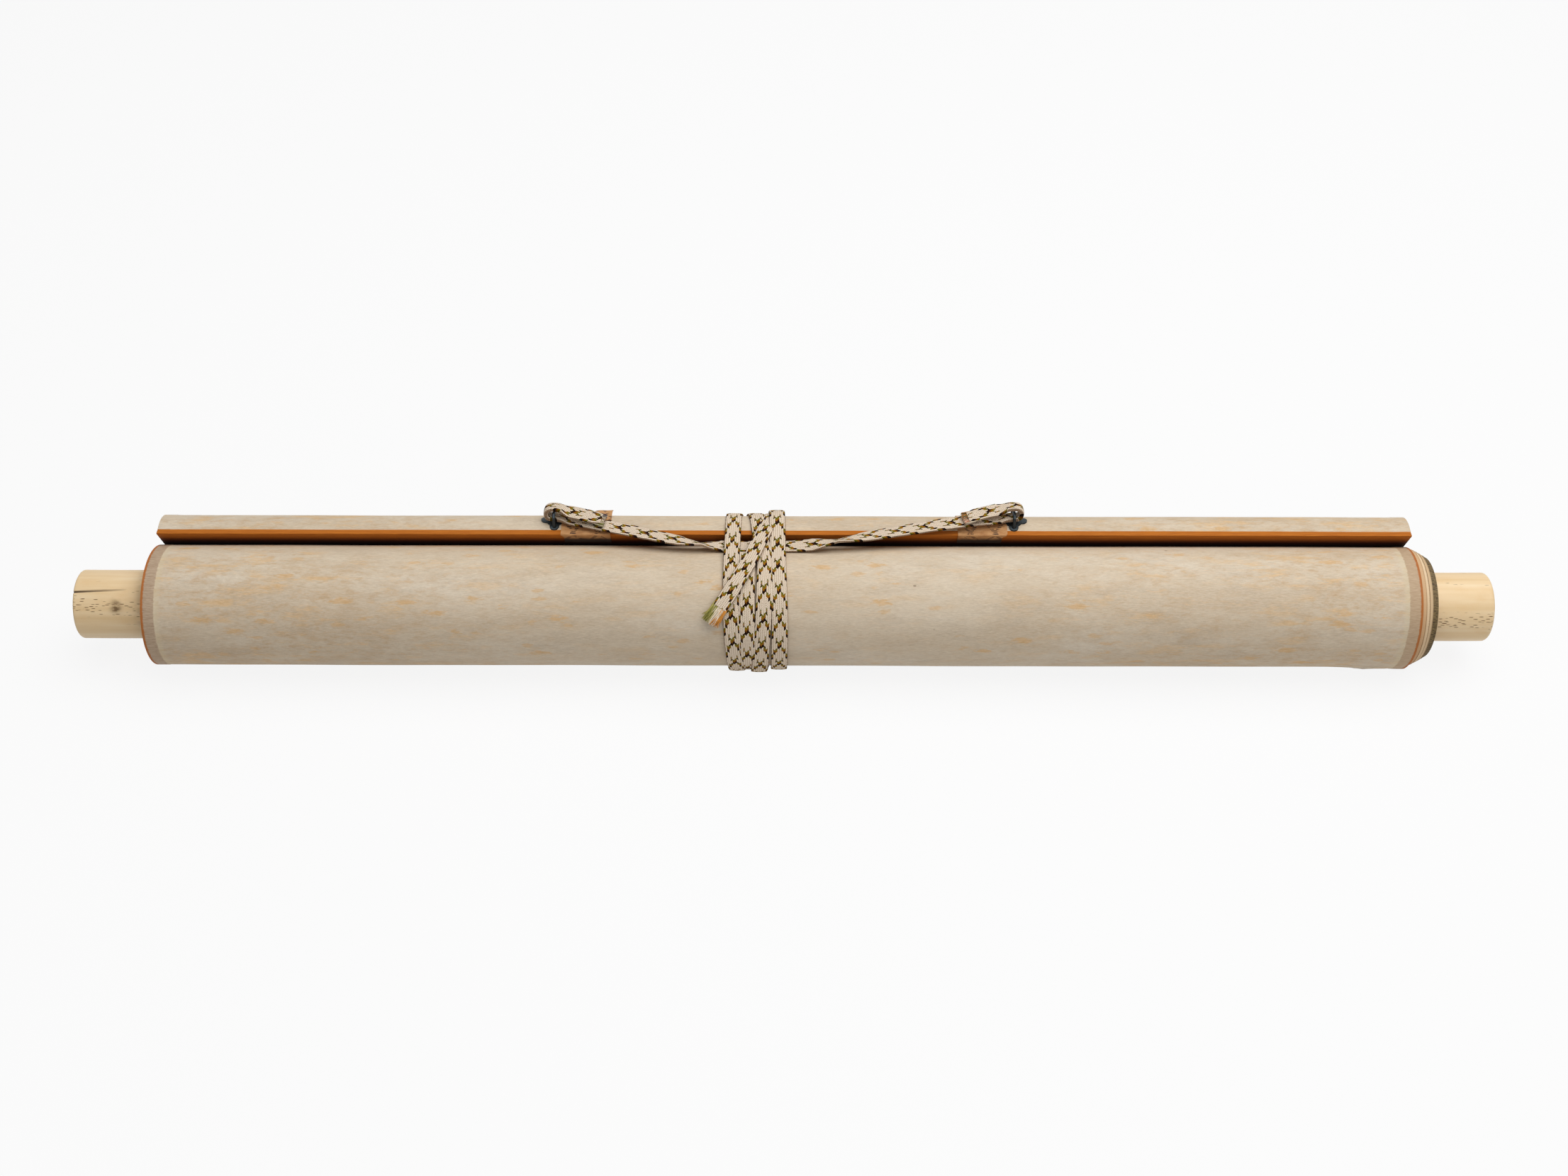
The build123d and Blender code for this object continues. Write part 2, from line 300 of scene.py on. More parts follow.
def paper_material():
    """Aged backing paper: the open sheet, its ribbed borders and the inner turns."""
    look = Shader("aged_paper", Roughness=0.68, Specular_IOR_Level=0.4)
    edge = look.attribute("edge")
    turn = look.attribute("turn")
    along = look.node("ShaderNodeSeparateXYZ", look.place((1, 1, 1))).outputs["X"]
    fibre = look.noise((2.4, 0.3, 0.3), 4, 0.72)
    rib = look.noise((3.0, 0.28, 0.28), 3, 0.6)
    colour = paper_ground(look, fibre, along)
    colour = paper_border(look, colour, rib, edge, turn, along)
    look.colour(paper_rings(look, colour, rib, edge, turn))
    look.bump(fibre, 0.03)
    look.bump(look.noise((20, 6, 6), 4), 0.05)
    return look.material


def silk_material():
    """Brown silk of the scroll's front, woven along the roll, with painted shade on the stave's flat face
    that turns near black at the hinge and behind it.
    """
    look = Shader("brown_silk", Roughness=0.72, Specular_IOR_Level=0.25)
    turn = look.attribute("turn")
    thread = look.noise((9, 0.35, 0.35), 3, 0.6)
    shade = look.noise((50, 8, 8), 3)
    colour = look.ramp(
        thread,
        (0.25, srgb(158, 84, 13)),
        (0.6, srgb(192, 112, 26)),
        (0.85, srgb(206, 132, 44)),
    )
    colour = look.stain(colour, shade, 0.4, srgb(150, 78, 20))
    # Painted shade: the flat face under the lip darkens from the lip inwards, and turns near black at the
    # hinge and behind it, where the stave meets the roll.
    colour = look.mix(look.step(turn, -1.15, -1.75), colour, srgb(80, 28, 5))
    colour = look.mix(look.step(turn, -1.5, -2.0), colour, srgb(18, 3, 2))
    look.colour(colour)
    look.bump(thread, 0.06)
    return look.material


def rim_material():
    """Cut edge of the sheet: thin layers, stained orange brown on the roll."""
    look = Shader("sheet_edge", Roughness=0.85)
    turn = look.attribute("turn")
    layer = look.noise((0.8, 0.8, 0.8), 3)
    colour = look.ramp(layer, (0.3, srgb(140, 76, 22)), (0.7, srgb(180, 112, 44)))
    colour = look.mix(look.step(turn, -0.4, -0.6), colour, srgb(150, 118, 84))
    colour = look.mix(look.step(turn, 0.6, 1.2), colour, srgb(158, 122, 78))
    colour = look.mix(look.step(turn, 3.6, 3.9), colour, srgb(70, 56, 34))
    look.colour(colour)
    return look.material


def bone_material():
    """Polished bone: faint long grain, rows of short dark pores, a blot, darker colour next to the roll and a
    crack.
    """
    look = Shader("bone", Roughness=0.4, Specular_IOR_Level=0.28)
    grain = look.noise((60, 3.2, 3.2), 3, 0.5)
    colour = look.ramp(
        grain,
        (0.3, srgb(226, 195, 148)),
        (0.55, srgb(234, 206, 163)),
        (0.8, srgb(240, 219, 184)),
    )
    cloud = look.step(look.noise((14, 7, 7), 4, 0.6), 0.48, 0.75)
    colour = look.stain(colour, cloud, 0.35, srgb(224, 184, 128))
    pore = look.step(look.cells((3.8, 0.55, 0.55)), 0.32, 0.2)
    row = look.math("MULTIPLY_ADD", look.attribute("porous"), 0.3, look.noise((20, 3.5, 3.5), 3))
    pore = look.math("MULTIPLY", pore, look.step(row, 0.6, 0.7))
    colour = look.stain(colour, pore, 0.95, srgb(92, 50, 14))
    # Darker, mottled colour where the stain attribute is high: the left knob's blot, and a band next to the
    # roll.
    darkening = look.step(look.noise((6, 3, 3), 4), 0.3, 0.6)
    darkening = look.math("MULTIPLY", look.attribute("stain"), darkening)
    colour = look.stain(colour, darkening, 0.75, srgb(122, 96, 64))
    look.colour(look.mix(look.attribute("crack"), colour, srgb(40, 20, 6)))
    look.rough(look.math("MULTIPLY_ADD", pore, 0.5, 0.4))
    look.bump(look.math("SUBTRACT", 1.0, pore), 0.06)
    look.bump(grain, 0.03)
    return look.material


def wood_material():
    """Plain light wood of the roller and the stave."""
    look = Shader("plain_wood", Roughness=0.7)
    grain = look.noise((60, 1.2, 1.2), 4, 0.65, 0.4)
    look.colour(look.ramp(grain, (0.3, srgb(150, 108, 66)), (0.7, srgb(196, 156, 108))))
    look.bump(grain, 0.08)
    return look.material


def metal_material():
    """Dark blue-grey metal of the eyes, dulled and a little worn."""
    look = Shader("dark_metal", Metallic=0.85, Roughness=0.45)
    wear = look.noise((1.6, 1.6, 1.6), 5, 0.7)
    colour = look.ramp(
        wear,
        (0.35, srgb(38, 43, 46)),
        (0.6, srgb(60, 68, 72)),
        (0.8, srgb(112, 114, 108)),
    )
    look.colour(colour)
    look.rough(look.math("MULTIPLY_ADD", wear, 0.4, 0.25))
    look.bump(wear, 0.06)
    return look.material


def patch_material():
    """Tan paper printed with a plain lattice of short dashes, with painted shade where it runs under the lip.
    """
    look = Shader("patterned_paper", Roughness=0.8)
    place = look.node("ShaderNodeSeparateXYZ", look.attribute("print", "Vector"))
    across, along = place.outputs["X"], place.outputs["Y"]
    ground = look.noise((5, 2.5, 2.5), 5, 0.68)
    colour = look.ramp(
        ground,
        (0.3, srgb(166, 114, 68)),
        (0.5, srgb(188, 138, 88)),
        (0.72, srgb(202, 156, 108)),
    )
    dash = look.step(look.math("PINGPONG", look.math("DIVIDE", along, 0.95), 0.5), 0.18, 0.28)
    worn = look.step(look.noise((1.9, 1.9, 1.9), 3), 0.4, 0.5)
    for lean in (0.62, -0.62):
        slant = look.math("MULTIPLY_ADD", along, lean, across)
        aside = look.math("PINGPONG", slant, 5.4)
        mark = look.math("MULTIPLY", look.step(aside, 1.0, 0.75), dash)
        colour = look.stain(colour, look.math("MULTIPLY", mark, worn), 0.95, srgb(52, 29, 16))
    # Painted shade: the paper darkens to near black over its first few millimetres, where it runs under the
    # lip.
    colour = look.mix(look.step(along, 7.0, 2.5), colour, srgb(40, 20, 8))
    look.colour(colour)
    look.bump(ground, 0.08)
    return look.material


def braid_material():
    """Cream silk braid in a herringbone, with coloured strands that surface a few stitches at a time, and
    painted shade in the valleys of the weave and along the braid's edges.
    """
    look = Shader("silk_braid", Roughness=0.8, Specular_IOR_Level=0.08)
    place = look.node("ShaderNodeSeparateXYZ", look.attribute("braid", "Vector"))
    across = look.math("MULTIPLY_ADD", place.outputs["X"], braid_columns / 2, braid_columns / 2)
    column = look.math("FLOOR", across)
    middle = look.math("DIVIDE", look.math("ADD", column, 0.5), braid_columns / 2)
    middle = look.math("ABSOLUTE", look.math("SUBTRACT", middle, 1.0))
    slant = look.math("MULTIPLY_ADD", look.math("PINGPONG", across, 1.0), stitch_lean, place.outputs["Y"])
    stitch = look.math("DIVIDE", slant, stitch_pitch)
    ridge = look.math("MULTIPLY", look.math("PINGPONG", stitch, 0.5), 2.0)
    rib = look.math("MULTIPLY", look.math("PINGPONG", across, 0.5), 2.0)
    height = look.math("MULTIPLY_ADD", rib, 0.45, look.math("MULTIPLY", ridge, 0.55))
    # Painted shade of the weave: stitch valleys and the grooves between columns darker, the ridges lighter.
    colour = look.ramp(
        height,
        (0.1, srgb(170, 142, 114)),
        (0.45, srgb(226, 206, 182)),
        (0.9, srgb(244, 230, 210)),
    )
    left = look.math("LESS_THAN", column, braid_columns / 2)
    level = look.math("MULTIPLY", look.math("FLOOR", stitch), stitch_pitch)
    level = look.math("MULTIPLY_ADD", left, stitch_pitch, level)
    cycle = look.math("FRACT", look.math("DIVIDE", level, braid_repeat))
    tint_stops = (
        (0.0, srgb(96, 104, 28)),
        (0.26, srgb(146, 124, 30)),
        (0.46, srgb(186, 118, 28)),
        (0.56, srgb(92, 42, 10)),
        (0.66, srgb(30, 13, 4)),
    )
    for centre, start, lean, reach, narrow in (
        (0.0, 0.02, 1.7, 0.16, 0.0),
        (0.29, 0.54, 0.75, 0.15, 0.0),
        (0.59, 0.9, -0.4, 0.15, 0.0),
        (0.79, 0.4, -0.5, 0.1, 0.5),
    ):
        offset = look.math("FRACT", look.math("SUBTRACT", cycle, centre - 0.5))
        offset = look.math("SUBTRACT", offset, 0.5)
        ahead = look.math("ABSOLUTE", offset) if centre == 0 else offset
        strand = look.math("MULTIPLY_ADD", ahead, lean, start)
        inside = look.math("COMPARE", middle, strand, 0.17)
        inside = look.math("MULTIPLY", inside, look.math("COMPARE", offset, 0.0, reach))
        inside = look.math("MULTIPLY", inside, look.math("GREATER_THAN", rib, narrow))
        share = look.math("DIVIDE", offset, 2 * reach)
        tint = look.ramp(look.math("ADD", share, 0.5), *tint_stops)
        # Painted shade on the coloured stitches too: darker in the valleys of the weave, lighter on the
        # ridges.
        tint = look.mix(0.6, tint, look.mix(height, srgb(120, 120, 120), srgb(255, 255, 255)), "MULTIPLY")
        colour = look.mix(inside, colour, tint)
    # Darker edges: painted shade between neighbouring turns, along with some wear.
    edge = look.step(look.math("ABSOLUTE", place.outputs["X"]), 0.88, 1.0)
    colour = look.mix(look.math("MULTIPLY", edge, 0.7), colour, srgb(140, 112, 84), "MULTIPLY")
    look.colour(colour)
    look.bump(height, 0.25)
    return look.material


def fibre_material():
    """Loose silk threads, each in its own dyed colour."""
    look = Shader("silk_fibre", Roughness=0.6, Specular_IOR_Level=0.3)
    look.colour(look.attribute("tint", "Color"))
    return look.material


def add_mesh(name, points, faces, materials, slots=None, sharp=35):
    """Mesh object from points in millimetres about the roll's axis, with its faces turned outwards."""
    mesh = bpy.data.meshes.new(name)
    points = (np.asarray(points, float) + (0, 0, axis_height)) * MM
    mesh.from_pydata(points.tolist(), [], faces)
    for material in materials:
        mesh.materials.append(material)
    if slots is not None:
        mesh.polygons.foreach_set("material_index", np.asarray(slots, np.int32))
    edit = bmesh.new()
    edit.from_mesh(mesh)
    bmesh.ops.recalc_face_normals(edit, faces=edit.faces)
    edit.to_mesh(mesh)
    edit.free()
    mesh.polygons.foreach_set("use_smooth", np.ones(len(mesh.polygons), bool))
    mesh.set_sharp_from_angle(angle=radians(sharp))
    made = bpy.data.objects.new(name, mesh)
    scene.collection.objects.link(made)
    return made


def add_attribute(piece, name, kind, values):
    """One value for each point of a piece, for its material to read."""
    field = {"FLOAT": "value", "FLOAT_VECTOR": "vector", "FLOAT_COLOR": "color"}[kind]
    made = piece.data.attributes.new(name, kind, "POINT")
    made.data.foreach_set(field, np.asarray(values, np.float32).ravel())


def grid_faces(rows, columns, first=0, wrap=False):
    """Quads of a grid of points, row after row; wrap joins the last column to the first."""
    faces = []
    for row in range(rows - 1):
        for column in range(columns if wrap else columns - 1):
            beside = (column + 1) % columns
            start = first + row * columns
            faces.append((start + column, start + beside, start + columns + beside, start + columns + column))
    return faces


def tube_faces(rings, count, first=0):
    """Quads round a tube of rings of points, with a cap on each end."""
    last = first + (rings - 1) * count
    caps = [tuple(range(start, start + count)) for start in (first, last)]
    return grid_faces(rings, count, first, wrap=True) + caps


def slab_faces(rows, columns):
    """Faces of a thin slab whose outer points come first: outer, inner, side and end faces."""
    below = rows * columns
    sides, ends = [], []
    for column in (0, columns - 1):
        for row in range(rows - 1):
            here, there = row * columns + column, (row + 1) * columns + column
            sides.append((here, there, there + below, here + below))
    for row in (0, rows - 1):
        for column in range(columns - 1):
            here = row * columns + column
            ends.append((here, here + 1, here + 1 + below, here + below))
    return grid_faces(rows, columns), grid_faces(rows, columns, below), sides, ends


def smooth_step(value, low, high):
    """Smooth share from 0 at low to 1 at high."""
    share = np.clip((np.asarray(value, float) - low) / (high - low), 0, 1)
    return share * share * (3 - 2 * share)


def line_run(points):
    """Length along a line up to each of its points."""
    return np.concatenate([[0], np.cumsum(np.linalg.norm(np.diff(points, axis=0), axis=1))])


def stave_normal(out, near):
    """Y and Z of a direction given out from the stave's seat and towards its near edge."""
    return out * cos(stave_angle) - near * sin(stave_angle), out * sin(stave_angle) + near * cos(stave_angle)


def stave_point(out, near):
    """Y and Z of a point given out from the stave's seat and towards its near edge."""
    return stave_normal(stave_seat + out, near)


def lip_line(count):
    """Near edge of the pocket with its corner broken, from its leaning flat face to its crown.

    Each row is a place and a normal, both given out from the stave's seat and towards its near edge.
    """
    crown = np.array((lip_height, sqrt(cover_radius**2 - lip_height**2)))
    corner = np.array((flat_rise, cover_radius + lip_reach))
    hinge = np.array((0, flat_hinge))
    first = corner + (hinge - corner) / np.linalg.norm(hinge - corner) * 0.7
    last = corner + (crown - corner) / np.linalg.norm(crown - corner) * 0.5
    rows = []
    for share in np.linspace(0, 1, count - 4):
        place = (1 - share) ** 2 * first + 2 * share * (1 - share) * corner + share**2 * last
        ahead = (1 - share) * (corner - first) + share * (last - corner)
        ahead /= np.linalg.norm(ahead)
        rows.append((*place, -ahead[1], ahead[0]))
    for share in np.linspace(0.25, 1, 4):
        rows.append((*(last + (crown - last) * share), -ahead[1], ahead[0]))
    return rows


def end_shift(turn):
    """How far to the right the sheet has slid at a depth of so many turns, from its run to the roll on."""
    left = outer_slip * smooth_step(turn, run_depth, 0)
    turn = np.maximum(turn, 0.0)
    out = (end_slip + outer_slip) * (np.minimum(turn, slip_turns) / slip_turns) ** slip_power
    back = np.clip((clear_turns - turn) / (clear_turns - slip_turns), 0, 1)
    return np.where(turn <= slip_turns, out - left, end_slip * back)


def make_camera():
    """Camera where the photograph was taken from."""
    data = bpy.data.cameras.new("camera")
    data.sensor_width = sensor_width
    data.lens = focal_pixels * sensor_width / picture_width
    data.clip_start = 0.01
    camera = bpy.data.objects.new("camera", data)
    scene.collection.objects.link(camera)
    towards = Vector((0, -cos(view_rise), sin(view_rise)))
    upward = Vector((0, sin(view_rise), cos(view_rise)))
    place = Vector((0, 0, axis_height)) + upward * view_lift + towards * view_distance
    turn = towards.to_track_quat("Z", "Y").to_matrix().to_4x4()
    camera.matrix_world = Matrix.Translation(place * MM) @ turn @ Matrix.Rotation(view_roll, 4, "Z")
    scene.camera = camera


def make_light():
    """Soft studio light from above, and white surroundings that show far brighter than they light."""
    scene.view_settings.view_transform = "Standard"
    middle = Vector((0, 0, axis_height * MM))
    for name, place, size, power in (
        ("key", (0.3, 0.08, 1.25), 1.5, 17.5),
        ("front", (0.2, -1.3, 0.9), 1.2, 2.5),
    ):
        data = bpy.data.lights.new(name, "AREA")
        data.shape = "DISK"
        data.size = size
        data.energy = power
        lamp = bpy.data.objects.new(name, data)
        scene.collection.objects.link(lamp)
        lamp.location = place
        lamp.rotation_euler = (Vector(place) - middle).to_track_quat("Z", "Y").to_euler()
    world = bpy.data.worlds.new("studio")
    scene.world = world
    world.use_nodes = True
    sky = Nodes(world.node_tree)
    background = sky.tree.nodes["Background"]
    background.inputs["Color"].default_value = (1, 1, 1, 1)
    strength = sky.math("MULTIPLY_ADD", sky.seen(), 1 - sky_light, sky_light)
    sky.feed(background.inputs["Strength"], strength)


def make_floor():
    """Pale floor, white to the camera with a soft shadow."""
    grey = (floor_grey, floor_grey, floor_grey, 1.0)
    look = Shader("white_floor", Roughness=0.9, Base_Color=grey, Specular_IOR_Level=0.1)
    glow = look.node("ShaderNodeEmission").outputs[0]
    share = look.math("MULTIPLY", look.seen(), floor_glow)
    blend = look.node("ShaderNodeMixShader", share, look.surface.outputs[0], glow)
    look.feed(look.tree.nodes["Material Output"].inputs["Surface"], blend.outputs[0])
    corners = ((-1, -1), (1, -1), (1, 1), (-1, 1))
    floor = add_mesh(
        "floor",
        [(x * floor_reach, y * floor_reach, -axis_height) for x, y in corners],
        [(0, 1, 2, 3)],
        [look.material],
    )


def sheet_path(fine_turns):
    """Line of the sheet's outer face: round the pocket, down to the roll, and inwards turn by turn.

    Each row is Y, Z, the outward normal's Y and Z, the depth in turns, and whether the front silk shows.
    The pocket is marked by a depth of -1.
    """
    fine_steps, coarse_steps = 112, 52
    rows = []
    for out, near, face_out, face_near in lip_line(lip_rows)[:-1]:
        rows.append((*stave_point(out, near), *stave_normal(face_out, face_near), -1, 1))
    seat_y, seat_z = stave_point(0, 0)
    for turn in np.linspace(acos(lip_height / cover_radius), -radians(88), 44):
        face_y, face_z = cos(stave_angle + turn), sin(stave_angle + turn)
        rows.append((seat_y + cover_radius * face_y, seat_z + cover_radius * face_z, face_y, face_z, -1, 0))
    corner = np.array(stave_point(0, -cover_radius))
    leave = atan2(corner[1], corner[0]) - acos(roll_radius / hypot(*corner))
    meet = roll_radius * np.array((cos(leave), sin(leave)))
    for share in np.linspace(0.06, 0.92, 6):
        point = corner + (meet - corner) * share
        rows.append((*point, cos(leave), sin(leave), run_depth * (1 - share), 0))
    last = (roll_radius - inner_radius) / turn_pitch
    fine = np.arange(0, fine_turns, 1 / fine_steps)
    coarse = np.arange(fine_turns, last, 1 / coarse_steps)
    for turn in np.concatenate([fine, coarse]):
        lean = leave - tau * turn
        radius = roll_radius - turn_pitch * turn
        low = -radius + max(flat_depth - turn_squeeze * turn, 0)
        rows.append((radius * cos(lean), max(radius * sin(lean), low), cos(lean), sin(lean), turn, 0))
    return np.array(rows)


def flat_path():
    """Line of the pocket's flat side, with rows as in sheet_path.

    The depth runs from -1.1 at the lip to -2.1 at the hinge, and is -2 behind it; the silk's painted shade
    follows it.
    """
    lip_out, lip_near, face_out, face_near = lip_line(lip_rows)[0]
    rows = []
    for near in np.linspace(lip_near, flat_hinge, 9):
        inward = (lip_near - near) / (lip_near - flat_hinge)
        point = stave_point(lip_out * (1 - inward), near)
        rows.append((*point, *stave_normal(face_out, face_near), -1.1 - inward, 1))
    for near in np.linspace(flat_hinge, -cover_radius, 6)[1:]:
        rows.append((*stave_point(0, near), -cos(stave_angle), -sin(stave_angle), -2, 1))
    return np.array(rows)


def paper_swell(x, y, z, turn):
    """How far the outer turns stand out of true: slow waves, a flared corner and its two creases."""
    around = np.arctan2(z, y)
    swell = 0.09 * np.sin(x / 31 + 2.1 * around) * np.sin(x / 83 - 1.3 * around + 0.7)
    swell += 0.05 * np.sin(x / 12.7 + 5 * around + 1.9) * np.sin(x / 47)
    low = np.exp(-(((np.degrees(around) + 112) / 42) ** 2))
    swell += 1.1 * smooth_step(x, 236, 262) * low * (turn < 0.55)
    slant = x + 0.35 * np.degrees(around + 2.2)
    for rise, middle, spread in ((0.5, 251, 1.7), (-0.4, 262, 1.9)):
        swell += rise * np.exp(-(((slant - middle) / spread) ** 2)) * low
    return swell * smooth_step(turn, 1.3, 0.9)


def shell(path, columns):
    """Closed shell of the sheet along part of its line: points, faces, material slots, edge and turn."""
    y, z, out_y, out_z, turn, front = (path[:, [k]] for k in range(6))
    x = columns[None, :] + end_shift(turn)
    edge = half_width - np.abs(np.broadcast_to(columns, x.shape))
    border = 0.1 * smooth_step(edge, 5.7, 5.3) * (turn < 1.2) * (front < 1)
    swell = paper_swell(x, y, z, turn) + border
    sides = [
        np.stack([x, y + out_y * rise, z + out_z * rise], -1).reshape(-1, 3)
        for rise in (swell, swell - sheet_thickness)
    ]
    outer_faces, inner_faces, side_faces, end_faces = slab_faces(*x.shape)
    slots = [silk_slot if shown else paper_slot for shown in front[:-1, 0] for _ in columns[:-1]]
    slots += [silk_slot] * len(inner_faces) + [rim_slot] * len(side_faces) + [silk_slot] * len(end_faces)
    faces = outer_faces + inner_faces + side_faces + end_faces
    edge = np.tile(edge.ravel(), 2)
    turn = np.tile(np.broadcast_to(turn, x.shape).ravel(), 2)
    return np.concatenate(sides), faces, slots, edge, turn


def edge_columns(middle, offsets):
    """Places along the roller: close together at each edge and at even steps between."""
    near = half_width - np.array(offsets)
    inside = np.linspace(-near[-1], near[-1], middle)
    return np.concatenate([-near[:-1], inside, near[-2::-1]])


def make_sheet(materials):
    """The sheet with its turns, its run to the stave and its pocket."""
    fine_turns = 1.12
    path = sheet_path(fine_turns)
    split = int(np.argmax(path[:, 4] > fine_turns))
    fine = edge_columns(104, (0, 0.35, 0.8, 1.4, 2.4, 3.8, 5.2, 5.6, 6.6, 8.4, 11, 14, 17, 20, 23, 26, 29))
    coarse = edge_columns(6, (0, 0.3, 0.8, 1.8, 3.4, 6, 12))
    points, faces, slots, edges, turns = [], [], [], [], []
    for rows, columns in ((path[:split], fine), (path[split - 1:], coarse), (flat_path(), coarse)):
        start = sum(len(part) for part in points)
        part_points, part_faces, part_slots, edge, turn = shell(rows, columns)
        points.append(part_points)
        faces += [tuple(corner + start for corner in face) for face in part_faces]
        slots += part_slots
        edges.append(edge)
        turns.append(turn)
    sheet = add_mesh("rolled_sheet", np.concatenate(points), faces, materials, slots)
    add_attribute(sheet, "edge", "FLOAT", np.concatenate(edges))
    add_attribute(sheet, "turn", "FLOAT", np.concatenate(turns))
    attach(sheet, "root")
    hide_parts("scroll_sheet")


def knob_stations(length, corner):
    """Places along a knob from the roll outwards, each with its share of the full radius."""
    dome, hub = 0.05, 0.88
    stations = [(0.02, 1.0)]
    stations += [(share * (length - corner), 1.0) for share in np.linspace(0.02, 1, 40)]
    for turn in np.linspace(0, radians(90), 7)[1:]:
        stations.append((length - corner + corner * sin(turn), 1 - corner / knob_radius * (1 - cos(turn))))
    for share in (0.3, 0.6, 0.9, 1.0):
        stations.append((length + dome * share, 1 - corner / knob_radius - share * hub))
    return stations


def make_knob(name, side, material):
    """Bone knob, a little uneven, with a drying crack and a blot in the left one."""
    low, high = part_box(name)
    base = (low.x if side > 0 else high.x) / MM
    length = (high.x - low.x) / MM
    crack_turn, crack_reach = radians(110.5), 23.0
    if side < 0:
        corner, crack_depth, blot_depth, pore_turn, pore_spread = 1.0, 0.55, 1.9, 143, 13
    else:
        corner, crack_depth, blot_depth, pore_turn, pore_spread = 1.5, 0.0, 0.0, 158, 15
    stations = knob_stations(length, corner)
    crack_offsets = np.linspace(-2.4, 2.4, 7)
    offsets = np.concatenate([np.linspace(-180, -3, 84), crack_offsets, np.linspace(3, 178, 83)])
    points, cracks, dark_shares, porous = [], [], [], []
    for along, share in stations:
        from_end = length - along
        lean = -0.003 * (crack_reach - from_end)
        opened = np.clip(1 - from_end / crack_reach, 0, 1) ** 0.6 if crack_depth else 0.0
        # Darker colour over the few millimetres next to the roll.
        darkening = 0.8 * smooth_step(along, 9, 1)
        for offset in offsets:
            turn = crack_turn + radians(offset) - lean * exp(-((offset / 25) ** 2))
            groove = opened * smooth_step(abs(offset), 2.3, 0.7)
            uneven = 0.05 * sin(3 * turn + along / 9) + 0.04 * sin(5 * turn - along / 14 + 1)
            radius = (knob_radius + uneven - crack_depth * groove) * share
            points.append((base + side * along, radius * cos(turn), radius * sin(turn)))
            blot = exp(-(((from_end - 19) / 2.1) ** 2) - ((degrees(turn) - 139.7) / 10) ** 2)
            cracks.append(groove)
            dark_shares.append(max(darkening, blot_depth * blot))
            porous.append(exp(-(((degrees(turn) - pore_turn) / pore_spread) ** 2)))
    knob = add_mesh(name + "_bone", points, tube_faces(len(stations), len(offsets)), [material], sharp=50)
    add_attribute(knob, "crack", "FLOAT", cracks)
    add_attribute(knob, "stain", "FLOAT", dark_shares)
    add_attribute(knob, "porous", "FLOAT", porous)
    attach(knob, "root")
    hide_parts(name)


def spline_points(name, route, resolution):
    """Points along a smooth curve whose control points are the route's, both in metres."""
    curve = bpy.data.curves.new(name, "CURVE")
    curve.dimensions = "3D"
    spline = curve.splines.new("NURBS")
    spline.points.add(len(route) - 1)
    for point, place in zip(spline.points, route):
        point.co = (*place, 1)
    spline.order_u = 3
    spline.use_endpoint_u = True
    spline.resolution_u = resolution
    holder = bpy.data.objects.new(name, curve)
    scene.collection.objects.link(holder)
    line = bpy.data.meshes.new_from_object(holder)
    places = np.array([vertex.co[:] for vertex in line.vertices])
    bpy.data.objects.remove(holder)
    bpy.data.curves.remove(curve)
    bpy.data.meshes.remove(line)
    return places


def directions(places):
    """Unit direction of a line at each of its points."""
    step = np.gradient(places, axis=0)
    return step / np.linalg.norm(step, axis=1, keepdims=True)


def make_ribbon(name, places, outward, width, thickness, material, ends=(1.0, 1.0)):
    """Flat braid along places in metres, with its flat faces square to outward.

    Given back with its last and its first end, each a place and the directions ahead, across and outward.
    """
    places = places / MM - (0, 0, axis_height)
    ahead = directions(places)
    across = np.cross(ahead, outward)
    across /= np.linalg.norm(across, axis=1, keepdims=True)
    outward = np.cross(across, ahead)
    along = line_run(places)
    taper_run = 4
    taper = np.minimum(
        ends[0] + (1 - ends[0]) * smooth_step(along, 0, taper_run),
        ends[1] + (1 - ends[1]) * smooth_step(along[-1] - along, 0, taper_run),
    )
    ring = np.linspace(0, tau, 22, endpoint=False)
    flat = np.sign(np.cos(ring)) * np.abs(np.cos(ring)) ** 0.75
    rise = np.sign(np.sin(ring)) * np.abs(np.sin(ring)) ** 0.45
    rise *= 1 - 0.12 * np.exp(-((flat / 0.12) ** 2))
    ripple = 1 + 0.025 * np.sin(along / 0.66 * tau)
    half_width_here = np.broadcast_to(width, along.shape) / 2 * ripple * taper
    half_thickness = np.broadcast_to(thickness, along.shape) / 2
    points = (
        places[:, None, :]
        + across[:, None, :] * (half_width_here[:, None] * flat)[:, :, None]
        + outward[:, None, :] * (half_thickness[:, None] * rise)[:, :, None]
    )
    points[:, :, 2] = np.maximum(points[:, :, 2], 0.03 - axis_height)
    faces = tube_faces(len(places), len(ring))
    ribbon = add_mesh(name, points.reshape(-1, 3), faces, [material], sharp=60)
    braid = np.zeros((len(places), len(ring), 3))
    braid[:, :, 0] = flat
    braid[:, :, 1] = along[:, None]
    add_attribute(ribbon, "braid", "FLOAT_VECTOR", braid)
    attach(ribbon, "root")
    last = (places[-1], ahead[-1], across[-1], outward[-1])
    first = (places[0], -ahead[0], across[0], outward[0])
    return ribbon, last, first


